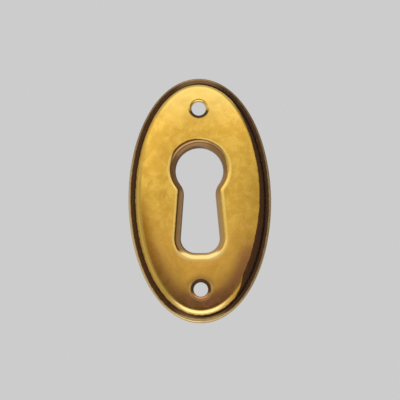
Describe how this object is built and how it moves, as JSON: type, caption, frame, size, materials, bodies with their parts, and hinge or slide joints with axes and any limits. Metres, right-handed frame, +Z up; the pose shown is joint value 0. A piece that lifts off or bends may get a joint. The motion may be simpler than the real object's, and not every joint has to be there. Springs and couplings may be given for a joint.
{
  "type": "keyhole escutcheon",
  "caption": "Oval key plate pressed from sheet brass, with a low raised face on a narrow rim, a keyhole whose edge is rolled inwards, and a pin hole at each end.",
  "frame": {"origin": "centre of the plate on the plane of its back, where the rim meets the drawer front", "axes": "+X across the plate to the right seen from the front, +Z up the plate to the round end of the keyhole, +Y into the drawer front, so the raised face looks along -Y"},
  "size_m": [0.028, 0.0024, 0.0488],
  "materials": {
    "aged_brass": "polished brass with dark tarnish left in the rim groove, the keyhole and the pin holes"
  },
  "bodies": {
    "root": {"escutcheon_plate": "aged_brass"}
  },
  "joints": []
}
